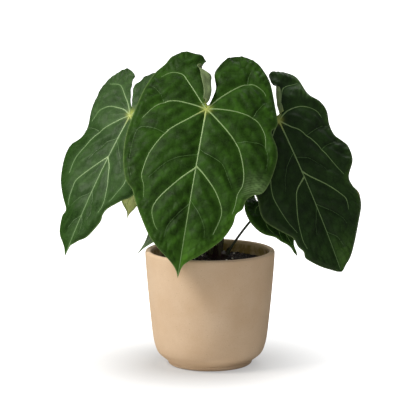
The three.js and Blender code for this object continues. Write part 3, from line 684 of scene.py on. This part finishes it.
BACK_LEFT = {
    "name": "back_left", "node": "leaf_back_left", "junction": (-75.8, 62, 194.3), "length": 54,
    "heading": 215, "lean": 25, "swing": 4.4, "droop": 15, "lobe_droop": 30, "fold": 8, "curl": 15,
    "seat": 114, "rise": 55, "spread": 0.35, "seed": 29, **YOUNG_MARGIN,
    "left": young_half(54, 1), "right": young_half(54, 1),
}
LOW_LEFT = {
    "name": "low_left", "node": "leaf_low_left", "junction": (-20.7, -5, 179.3), "length": 82,
    "heading": -30, "lean": 30, "swing": -35.1, "droop": 20, "lobe_droop": 30, "fold": 10, "curl": 10,
    "seat": 228, "rise": 45, "spread": 0.35, "seed": 31, **YOUNG_MARGIN,
    "left": young_half(82, 0.565), "right": young_half(82, 0.565),
}

# Waves run round the margin, about a centre on the midrib. As shares of the leaf's length: how
# deep their band is, how far down that centre is, how far from it the margin is on average, and
# how wide a strip beside the midrib they leave still
WAVE_BAND = 0.09
WAVE_CENTRE = 0.25
MARGIN_DISTANCE = 0.45
WAVE_ROOT = 0.06
WAVE_FLATTENING = 0.8
# The sides fall by the curl over this share of the length
CURL_REACH = 0.45
# A blade's mesh: rows in the lobes and below them, and columns of each half. Leaves that are
# longer than this are grown
GROWN_LENGTH = 100
GROWN_GRID = (60, 130, 64)
YOUNG_GRID = (34, 70, 32)
LOBE_ROW_CROWDING = 1.7
BODY_ROW_CROWDING = 1.15


def smoothstep(value, start, end):
    t = np.clip((value - start) / (end - start), 0, 1)
    return t * t * (3 - 2 * t)


def near(distance, reach):
    """1 where a distance is 0, fading to 0 beyond its reach."""
    return np.exp(-(distance / reach) ** 2)


def arc(length, angle, bend):
    """How far a line runs and rises that starts at an angle and bends evenly."""
    end = angle - bend * length
    return (np.sin(angle) - np.sin(end)) / bend, (np.cos(end) - np.cos(angle)) / bend


def turn_matrix(leaf):
    """A leaf's three turns in one, each from one axis towards another."""
    matrix = np.eye(3)
    for key, start, end in (("heading", 0, 1), ("lean", 2, 1), ("swing", 0, 2)):
        angle = math.radians(leaf[key])
        turn = np.eye(3)
        turn[start, start] = turn[end, end] = math.cos(angle)
        turn[start, end], turn[end, start] = -math.sin(angle), math.sin(angle)
        matrix = matrix @ turn
    return matrix


def half_of(leaf, side):
    return leaf["right" if side > 0 else "left"]


def outline(points):
    """An outline as places along and how far out it lies there, in rising order."""
    line = smooth_line(points, 12)
    if line[0, 1] > line[-1, 1]:
        line = line[::-1]
    return np.maximum.accumulate(line[:, 1]), line[:, 0]


def half_at(half, along):
    """Where a half's flesh starts and how wide it is, at places along the leaf."""
    notch = outline([(0, SINUS_APEX)] + half["sinus"])
    inner = np.where(along < SINUS_APEX, np.interp(along, *notch), 0)
    return inner, np.interp(along, *outline(half["edge"])) - inner


def round_margin(leaf, out, along):
    """The angle at which places lie round the centre of a leaf's waves."""
    return np.arctan2(out, WAVE_FLATTENING * (along - WAVE_CENTRE * leaf["length"]))


def blade_point(leaf, side, out, along, lift):
    """Points in the part's frame, in millimetres, for places on the flat leaf."""
    droop = math.radians(leaf["droop"])
    bend = np.where(along >= 0, droop, math.radians(leaf["lobe_droop"])) / leaf["length"]
    run, rise = arc(along, droop / 2, bend)
    slope = droop / 2 - bend * along
    side_bend = math.radians(leaf["curl"]) / (CURL_REACH * leaf["length"])
    across, up = arc(out, math.radians(leaf["fold"]), side_bend)
    face = up + lift
    local = np.stack([side * across, -(rise + face * np.cos(slope)), -(run - face * np.sin(slope))], -1)
    return local @ turn_matrix(leaf).T + np.array(leaf["junction"])


def distance_to(lines, places):
    """How far places on the flat leaf lie from the nearest of some lines."""
    nearest = np.full(len(places), 1e3)
    for line in lines:
        for start, end in zip(line, line[1:]):
            ahead = end - start
            t = np.clip((places - start) @ ahead / max(ahead @ ahead, 1e-9), 0, 1)
            nearest = np.minimum(nearest, np.hypot(*(places - start - t[:, None] * ahead).T))
    return nearest


NET_CELL = 8.5


def net_edges(places, seed):
    """How far places lie from the borders of an even, jittered net of cells, in millimetres."""
    chance = np.random.default_rng(seed)
    jitter = chance.uniform(0.15, 0.85, (64, 64, 2))
    cell = np.floor(places / NET_CELL).astype(int)
    gaps = []
    for dx in (-1, 0, 1):
        for dy in (-1, 0, 1):
            beside = cell + [dx, dy]
            seat = (beside + jitter[beside[:, 0] % 64, beside[:, 1] % 64]) * NET_CELL
            gaps.append(np.hypot(*(places - seat).T))
    gaps = np.sort(np.array(gaps), axis=0)
    return gaps[1] - gaps[0]


# The flesh bulges between the ribs, less between the side ribs and in the cells of the net, and
# swells from place to place: how high each stands, and how wide or long it is, on leaves of at
# least this length. It is smaller on a shorter leaf
FULL_RELIEF_LENGTH = 150
QUILT, QUILT_WIDTH = 2.3, 6.5
SIDE_QUILT, SIDE_QUILT_WIDTH = 1.4, 3.5
NET, NET_LINE = 0.45, 1.5
SWELL, SWELL_LENGTH = 0.85, 21
# Long bulges lie side by side between the ribs and run outwards and towards the tip
PLEAT, PLEAT_LENGTH = 0.7, 12
# Short ripples run round in a band this far in from the margin and this wide
RIPPLE, RIPPLE_LENGTH = 0.42, 5.5
RIPPLE_BAND = (9, 9)
# The relief fades out at the margin. This near the midrib it is the same on both halves, so that
# they meet
EDGE_FADE = 3.5
MIDRIB_STRIP = 3
# Low on both sides of the front leaf, the margin is drawn up in fine crimps: where on each half,
# on how long a stretch and how strongly, and how high and long they are. The flesh there is drawn
# paler, most on the crests, as painted highlights.
CRIMPS = {1: ((71, 84), 15, 1.0), -1: ((70, 86), 11, 0.1)}
CRIMP, CRIMP_LENGTH = 0.55, 3.7
# The right leaf's margin is dry and pale at one place of its right half, so far across and along
DRY_PLACE = (60, 104)
DRY_REACH = (1.8, 5)
# How far the tint of a rib reaches, the painted shade in a side rib's crease and on the net's
# lines, and the painted highlight on the edge itself
RIB_TINT, CREASE_SHADE_REACH, NET_SHADE_REACH, EDGE_HIGHLIGHT_REACH = 1.5, 2.6, 1.1, 0.9
# Round the place where the ribs meet the flesh is yellowish, more so above it
KNOB_RISE = 1.5
KNOB_REACH = 4.8


def rib_lines(leaf, side, key):
    ribs = half_of(leaf, side)[key]
    lines = [smooth_line(np.array(rib) / 1000, 10) * leaf["length"] for rib in ribs]
    return lines + [np.array(MIDRIB) / 1000 * leaf["length"]] if key == "ribs" else lines


def surface_marks(leaf, side, out, along, from_edge):
    """What the flesh does at places of a half: its relief, and the marks that its colours follow."""
    length, seed = leaf["length"], leaf["seed"]
    size = min(1, length / FULL_RELIEF_LENGTH)
    places = np.stack([out, along], -1)
    main = distance_to(rib_lines(leaf, side, "ribs"), places)
    minor = distance_to(rib_lines(leaf, side, "side_ribs"), places)
    net = net_edges(places * [side, 1] / size, seed)
    swell = (np.sin(2 * math.pi * (along + 6 * np.sin(out / 13)) / SWELL_LENGTH + seed + 2 * side)
             * np.sin(2 * math.pi * out / (1.3 * SWELL_LENGTH) + seed))
    around = round_margin(leaf, out, along) * MARGIN_DISTANCE * length * 2 * math.pi
    ripple = np.sin(around / RIPPLE_LENGTH) * near(from_edge - RIPPLE_BAND[0], RIPPLE_BAND[1])
    (crimp_out, crimp_along), reach, strength = CRIMPS[side]
    crimped = near(np.hypot(out - crimp_out, along - crimp_along), reach)
    crimped *= strength if leaf is FRONT else 0
    crimp = 0.5 + 0.5 * np.sin(around / CRIMP_LENGTH + out / 9 + 0.7 * np.sin(out / 3.7 + along / 9)
                               + 0.6 * np.sin(along / 4.3 - out / 6))
    dry = near(np.hypot((out - DRY_PLACE[0]) / DRY_REACH[0], (along - DRY_PLACE[1]) / DRY_REACH[1]), 1)
    dry *= (0.6 + 0.4 * np.sin(2.1 * along)) if leaf is RIGHT and side > 0 else 0
    with_pleat, over_pleat = (out + along) / math.sqrt(2), (along - out) / math.sqrt(2)
    pleat = np.sin(2 * math.pi * (over_pleat + 3 * np.sin(with_pleat / 15 + seed))
                   / (PLEAT_LENGTH * size))
    pleat *= 0.6 + 0.4 * np.sin(with_pleat / 11 + 2 * seed + side)
    tip = smoothstep(along / length, 0.7, 0.98)
    upper = leaf["upper_rim"]
    rim = near(from_edge, leaf["rim_reach"] * size)
    rim *= upper + (1 - upper) * smoothstep(along / length, *leaf["rim_span"])
    away = 1 - near(main, QUILT_WIDTH * size)
    off_midrib = 1 - near(out, MIDRIB_STRIP * size)
    relief = (QUILT * away + SIDE_QUILT * (1 - off_midrib * near(minor, SIDE_QUILT_WIDTH * size))
              + NET * (1 - near(net, NET_LINE)) * away + SWELL * swell * away + PLEAT * pleat * away
              + RIPPLE * ripple * away + CRIMP * crimp * crimped)
    return {
        "relief": relief * (size * (1 - off_midrib * near(from_edge, EDGE_FADE * size))),
        "rib": near(main, RIB_TINT),
        # crease and net: darker in the grooves along the side ribs and on the net's lines, as painted shade
        "crease": near(minor, CREASE_SHADE_REACH * size) * away,
        "net": near(net, NET_SHADE_REACH),
        "rim": leaf["rims"][side] * np.maximum(rim, 0.8 * tip),
        # pleat: darker in the pleats' troughs, as painted shade
        "pleat": (0.5 - 0.5 * pleat) * away * (1 - 0.6 * tip),
        "dry": dry,
        # edge and crimp: paler along the edge itself and on the crimps, as painted highlights
        "edge": near(from_edge, EDGE_HIGHLIGHT_REACH),
        "crimp": crimped * (0.35 + 0.65 * crimp),
        "knob": near(np.hypot(out, along + KNOB_RISE * size), KNOB_REACH * size),
        "flat": np.stack([side * out, along, 0 * out], -1),
    }


def place_on_blade(leaf, side, out, along, stand=0.0):
    """Points on the waved and quilted face for places on the flat leaf, and their marks."""
    half = half_of(leaf, side)
    inner, width = half_at(half, along)
    width = np.maximum(width, 1e-6)
    share = (out - inner) / width
    from_edge = (1 - share) * width
    marks = surface_marks(leaf, side, out, along, from_edge)
    wave = (leaf["wave"] * near(from_edge, WAVE_BAND * leaf["length"])
            * np.sin(leaf["waves"] * round_margin(leaf, out, along) + leaf["waves"] + side)
            * (1 - near(out, WAVE_ROOT * leaf["length"])))
    top = half["edge"][0][1]
    place = (along - top) / (SINUS_APEX - top)
    roll_share, angle, radius, starts = half["roll"]
    depth = roll_share * np.minimum(1, 1 - ROLL_TAPER * (place - ROLL_WIDEST))
    rolled = (share < depth) & (place < 1)
    full = math.radians(abs(angle)) * smoothstep(place, *starts) * (1 - smoothstep(place, *ROLL_ENDS))
    past = np.where(rolled, (depth - share) * width, 0)
    turn = np.minimum(full, past / radius)
    flap = past - turn * radius
    back = radius * np.sin(turn) + flap * np.cos(turn)
    over = np.sign(angle) * (radius * (1 - np.cos(turn)) + flap * np.sin(turn))
    out = np.where(rolled, inner + depth * width - back, out)
    return blade_point(leaf, side, out, along, over + wave + stand + marks.pop("relief")), marks


def blade_mesh(leaf, lobe_rows, body_rows, columns):
    """The face of a blade: rows across both halves from the lobes' tops to the tip."""
    points, faces, marks = [], [], []
    for side in (-1, 1):
        half = half_of(leaf, side)
        top, tip = half["edge"][0][1], leaf["length"]
        lobe = top + (SINUS_APEX - top) * np.linspace(0, 1, lobe_rows + 1) ** LOBE_ROW_CROWDING
        body = tip + (SINUS_APEX - tip) * np.linspace(1, 0, body_rows + 1)[1:] ** BODY_ROW_CROWDING
        rows = np.concatenate([lobe, body])
        grids = np.meshgrid(rows, np.linspace(0, 1, columns + 1), indexing="ij")
        along, share = (grid.ravel() for grid in grids)
        inner, width = half_at(half, along)
        placed, half_marks = place_on_blade(leaf, side, inner + share * width, along)
        first = sum(len(p) for p in points)
        for face in grid_faces(len(rows), columns + 1, columns):
            faces.append([first + corner for corner in (face[::-1] if side > 0 else face)])
        points.append(placed * MM)
        marks.append(half_marks)
    merged = {key: np.concatenate([half_marks[key] for half_marks in marks]) for key in marks[0]}
    return mesh_of(leaf["name"] + "_leaf_blade", np.vstack(points), faces, merged)


def bar_tree():
    """Makes round bars along lines of edges, each as thick as the lines' radius mark says."""
    tree, given = new_tree("round_bars", [("Sides", "Int"), ("Material", "Material")])
    radius = add_node(tree, "GeometryNodeInputNamedAttribute", {"Name": "radius"}, data_type="FLOAT")
    lines = add_node(tree, "GeometryNodeMeshToCurve", {"Mesh": given["Geometry"]})
    section = add_node(tree, "GeometryNodeCurvePrimitiveCircle", {
        "Resolution": given["Sides"], "Radius": 1.0})
    bars = add_node(tree, "GeometryNodeCurveToMesh", {
        "Curve": lines.outputs[0], "Profile Curve": section.outputs[0], "Scale": radius.outputs[0],
        "Fill Caps": True})
    smooth = add_node(tree, "GeometryNodeSetShadeSmooth", {"Geometry": bars.outputs[0]})
    end_tree(tree, smooth.outputs[0], given["Material"])
    return tree


round_bars = bar_tree()


def bars(name, lines, sides, material):
    """Round bars along lines, each given as its points, radii and how far along it they lie."""
    mesh = bpy.data.meshes.new(name)
    points, radii, shares = (np.concatenate(values) for values in zip(*lines))
    counts = [len(line[0]) for line in lines]
    edges = [(start + i, start + i + 1) for start, count in zip(np.cumsum([0] + counts), counts)
             for i in range(count - 1)]
    mesh.from_pydata((points * MM).tolist(), edges, [])
    for title, values in (("radius", radii * MM), ("share", shares)):
        mesh.attributes.new(title, "FLOAT", "POINT").data.foreach_set("value", values)
    return run_tree(new_object(name, mesh), round_bars, {"Sides": sides, "Material": material})


# A rib's middle lies this share of its radius under the face
RIB_SUNK = 0.35
RIB_SIDES = 8
# Radius at the start and end of each kind of rib on a leaf of this length, and the share of it
# that ribs keep on the shortest leaves
FULL_RIB_LENGTH = 180
LEAST_RIB_SIZE = 0.55
MIDRIB_RADIUS = (1.1, 0.32)
RIB_RADIUS = (0.9, 0.3)
SIDE_RIB_RADIUS = (0.36, 0.18)
# The main ones are this much thicker where they leave the junction or the midrib, and that fades
# over this share of their length
RIB_ROOT = 0.35
RIB_ROOT_SHARE = 0.06
# A main rib fades this far towards the colour of the side ribs. Where the ribs meet at the
# junction they are yellower, over this share of their length
RIB_FADE = 0.6
KNOB_SHARE = 0.06


def rib_bars(leaf, material):
    """All the ribs of a leaf as slim bars that lie in its flesh and stand out of both faces."""
    size = max(LEAST_RIB_SIZE, leaf["length"] / FULL_RIB_LENGTH)
    lines = []
    for side in (-1, 1):
        half = half_of(leaf, side)
        kinds = [(half["ribs"], RIB_RADIUS, KNOB_SHARE, RIB_ROOT),
                 (half["side_ribs"], SIDE_RIB_RADIUS, 1, 0)]
        if side > 0:
            kinds.append(([MIDRIB], MIDRIB_RADIUS, KNOB_SHARE, RIB_ROOT))
        for paths, (thick, thin), paleness, root in kinds:
            for path in paths:
                line = smooth_line(np.array(path) / 1000 * leaf["length"], 12)
                share = np.linspace(0, 1, len(line))
                thickened = root * np.exp(-share / RIB_ROOT_SHARE)
                radius = size * (thick + (thin - thick) * share ** 0.8 + thickened)
                points, _ = place_on_blade(leaf, side, line[:, 0], line[:, 1], -RIB_SUNK * radius)
                lines.append((points, radius, np.maximum(RIB_FADE * share, paleness if path[0][1] else 0)))
    return bars(leaf["name"] + "_ribs", lines, RIB_SIDES, material)


# The index of refraction of a plant's waxy skin
WAX_IOR = 1.45


def mark(tree, name, output="Fac"):
    """A mark that the points of a mesh carry."""
    return add_node(tree, "ShaderNodeAttribute", attribute_name=name).outputs[output]


# Leaf flesh: a waxy skin over dark green cells, with a velvety sheen. The flesh is lighter along
# the ribs and towards the margin. Painted shade darkens it in the creases of the side ribs, on the
# net's sunken lines and in the pleats' troughs, and painted highlights lighten the crimps and the
# edge itself. The shine is given for the flesh and for the margin.
def flesh_material(name, deep, fresh, rim, net, roughness, shine):
    material, tree, shader = new_material(name, {"Roughness": roughness, "IOR": WAX_IOR})
    flat, rim_mark = mark(tree, "flat", "Vector"), mark(tree, "rim")
    borders = cells(tree, flat, 0.42, "DISTANCE_TO_EDGE")
    tone = mixed(tree, ranged(tree, noise(tree, flat, 0.045, 3, 0.6), 0.32, 0.72), deep, fresh)
    # Painted shade darkens the pleats' troughs, the net's lines and the side ribs' creases, and painted
    # highlights lighten the crimps and the edge itself
    for pattern, share, colour in (
            (mark(tree, "pleat"), 0.62, deep), (rim_mark, 0.75, rim), (mark(tree, "crimp"), 1, "#7c9a64"),
            (mark(tree, "edge"), 0.6, "#86a264"), (ranged(tree, borders, 0, 0.12, 0.22, 0), 1, net),
            (mark(tree, "net"), 0.35, deep), (mark(tree, "crease"), 0.6, deep),
            (mark(tree, "rib"), 0.55, net), (mark(tree, "dry"), 1, "#c2b46c"),
            (mark(tree, "knob"), 1, "#aebb58")):
        tone = mixed(tree, times(tree, pattern, share), tone, colour)
    tree.links.new(ranged(tree, rim_mark, 0, 1, *shine), shader.inputs["Specular IOR Level"])
    fine = add_node(tree, "ShaderNodeMath", {0: noise(tree, flat, 1.1, 3), 1: borders}, operation="ADD")
    lay_on(tree, shader, tone, fine.outputs[0], 0.35, 0.0005)
    return material


# Rib tissue: pale, smooth and firm, yellow green where the ribs meet and greener at their ends
def rib_material(name, start, end):
    material, tree, shader = new_material(name, {"Roughness": 0.42, "IOR": WAX_IOR})
    share = mark(tree, "share")
    flecks = noise(tree, object_place(tree), 350, 2)
    tone = mixed(tree, share, start, end)
    tone = mixed(tree, ranged(tree, flecks, 0.35, 0.75, 0, 0.3), tone, end)
    tone = mixed(tree, ranged(tree, share, 0, KNOB_SHARE, 1, 0), tone, "#b0ba5c")
    lay_on(tree, shader, tone, flecks, 0.1, 0.0003)
    return material


# Each leaf's flesh where it is deepest and freshest, its margin and its net, its roughness and shine
FLESH = {
    "front": ("#172b07", "#396219", "#528424", "#3a5c22", 0.5, (0.1, 0.08)),
    "left": ("#263d1b", "#466634", "#1f3d0c", "#4a6c3a", 0.52, (0.2, 0.0)),
    "right": ("#102206", "#264314", "#42661f", "#26411b", 0.58, (0.22, 0.22)),
    "lower_right": ("#182c0c", "#23400f", "#4a7826", "#365a28", 0.55, (0.1, 0.1)),
    "back_left": ("#c6da88", "#d6e898", "#cadc88", "#deeaa4", 0.55, (0.2, 0.2)),
    "low_left": ("#26361f", "#34482a", "#3c5230", "#4a6040", 0.45, (0.4, 0.4)),
}
UNDERSIDE = ("#768a5c", "#869a6a", "#7f9560", "#93a474", 0.55, (0.25, 0.25))
# Its ribs at their start and end
RIB_COLOURS = {
    "front": ("#9ab67c", "#4a6e32"), "left": ("#9ab482", "#5f7f4c"), "right": ("#8ba66c", "#466634"),
    "lower_right": ("#8aa860", "#5c8040"), "back_left": ("#cede9e", "#bed08c"),
    "low_left": ("#7d9160", "#587048"),
}
LEAVES = [FRONT, LEFT, RIGHT, LOWER_RIGHT, BACK_LEFT, LOW_LEFT]
underside = flesh_material("leaf_underside", *UNDERSIDE)
for leaf in LEAVES:
    name = leaf["name"]
    grid = GROWN_GRID if leaf["length"] > GROWN_LENGTH else YOUNG_GRID
    blade = new_object(name + "_leaf_blade", blade_mesh(leaf, *grid))
    face = flesh_material(name + "_leaf_face", *FLESH[name])
    blade.data.materials.append(face)
    blade.data.materials.append(face if leaf is BACK_LEFT else underside)
    wall = blade.modifiers.new("wall", "SOLIDIFY")
    wall.thickness = BLADE_THICKNESS * MM
    wall.offset = -1
    wall.material_offset = 1
    plain_copy(blade)
    join_to(blade, [rib_bars(leaf, rib_material(name + "_rib_tissue", *RIB_COLOURS[name]))])
    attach(blade, "root")
    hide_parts(leaf["node"] + "_blade")

# The stalks: round, smooth and fleshy, thick at the foot, with a swollen neck that carries the
# blade. Each grows out of the crown, rises behind its blade and turns forward into its back.
STALK_ROOT = 112
STALK_RING = 7.2
STALK_REACH = 0.14
STALK_STEPS = 64
STALK_SIDES = 20
STALK_RADIUS = 1.75
FOOT_SWELL = 1.15
NECK_SWELL = 0.55
SMALL_STALK = 0.75
# The foot tapers off and the neck swells at these shares of a stalk's length
FOOT_TAPER = 0.25
NECK_SPAN = (0.9, 0.97)
NECK_TOP = 0.6


def stalk_line(leaf):
    """A stalk's middle line: its points, its radii and how far along it they lie."""
    seat = math.radians(leaf["seat"])
    root = np.array([CROWN_PLACE[0] + STALK_RING * math.cos(seat),
                     CROWN_PLACE[1] + STALK_RING * math.sin(seat), STALK_ROOT])
    slope = math.radians(leaf["droop"]) / 2
    face = turn_matrix(leaf) @ np.array([0, -math.cos(slope), math.sin(slope)])
    end = np.array(leaf["junction"]) - NECK_TOP * face
    aim = (end - root) * [1, 1, 0]
    start = aim * leaf["spread"] / np.linalg.norm(end - root) + [0, 0, 1]
    start /= np.linalg.norm(start)
    t = np.linspace(0, 1, STALK_STEPS + 1)[:, None]
    lower, upper = root + start * leaf["rise"], end - face * STALK_REACH * leaf["length"]
    points = ((1 - t) ** 3 * root + 3 * t * (1 - t) ** 2 * lower + 3 * t ** 2 * (1 - t) * upper
              + t ** 3 * end)
    lengths = np.concatenate([[0], np.cumsum(np.linalg.norm(np.diff(points, axis=0), axis=1))])
    share = lengths / lengths[-1]
    radius = (STALK_RADIUS + FOOT_SWELL * np.clip(1 - share / FOOT_TAPER, 0, 1) ** 1.5
              + NECK_SWELL * smoothstep(share, *NECK_SPAN))
    return points, radius * (1 if leaf["length"] > GROWN_LENGTH else SMALL_STALK), share


# Stalk skin: smooth and satiny, green with fine pale flecks, dark purple brown towards the crown
def stalk_material(name, foot, middle, neck):
    material, tree, shader = new_material(name, {"Roughness": 0.45, "IOR": WAX_IOR})
    share = mark(tree, "share")
    stretched = add_node(tree, "ShaderNodeMapping", {"Vector": object_place(tree), "Scale": (900, 900, 220)})
    flecks = noise(tree, stretched.outputs[0], 1, 2)
    tone = mixed(tree, ranged(tree, share, 0.05, 0.6), foot, middle)
    tone = mixed(tree, ranged(tree, share, 0.82, 0.97), tone, neck)
    tone = mixed(tree, ranged(tree, flecks, 0.5, 0.75, 0, 0.4), tone, neck)
    lay_on(tree, shader, tone, flecks, 0.15, 0.0003)
    return material


grown_stalk = stalk_material("grown_stalk_skin", "#3a2a20", "#4c6b33", "#8fa657")
dark_stalk = stalk_material("dark_stalk_skin", "#2a2318", "#34421f", "#4a6a2c")
for leaf in LEAVES:
    finish = dark_stalk if leaf is LOWER_RIGHT else grown_stalk
    stalk = bars(leaf["name"] + "_leaf_stalk", [stalk_line(leaf)], STALK_SIDES, finish)
    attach(stalk, "root")
    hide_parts(leaf["node"] + "_stalk")
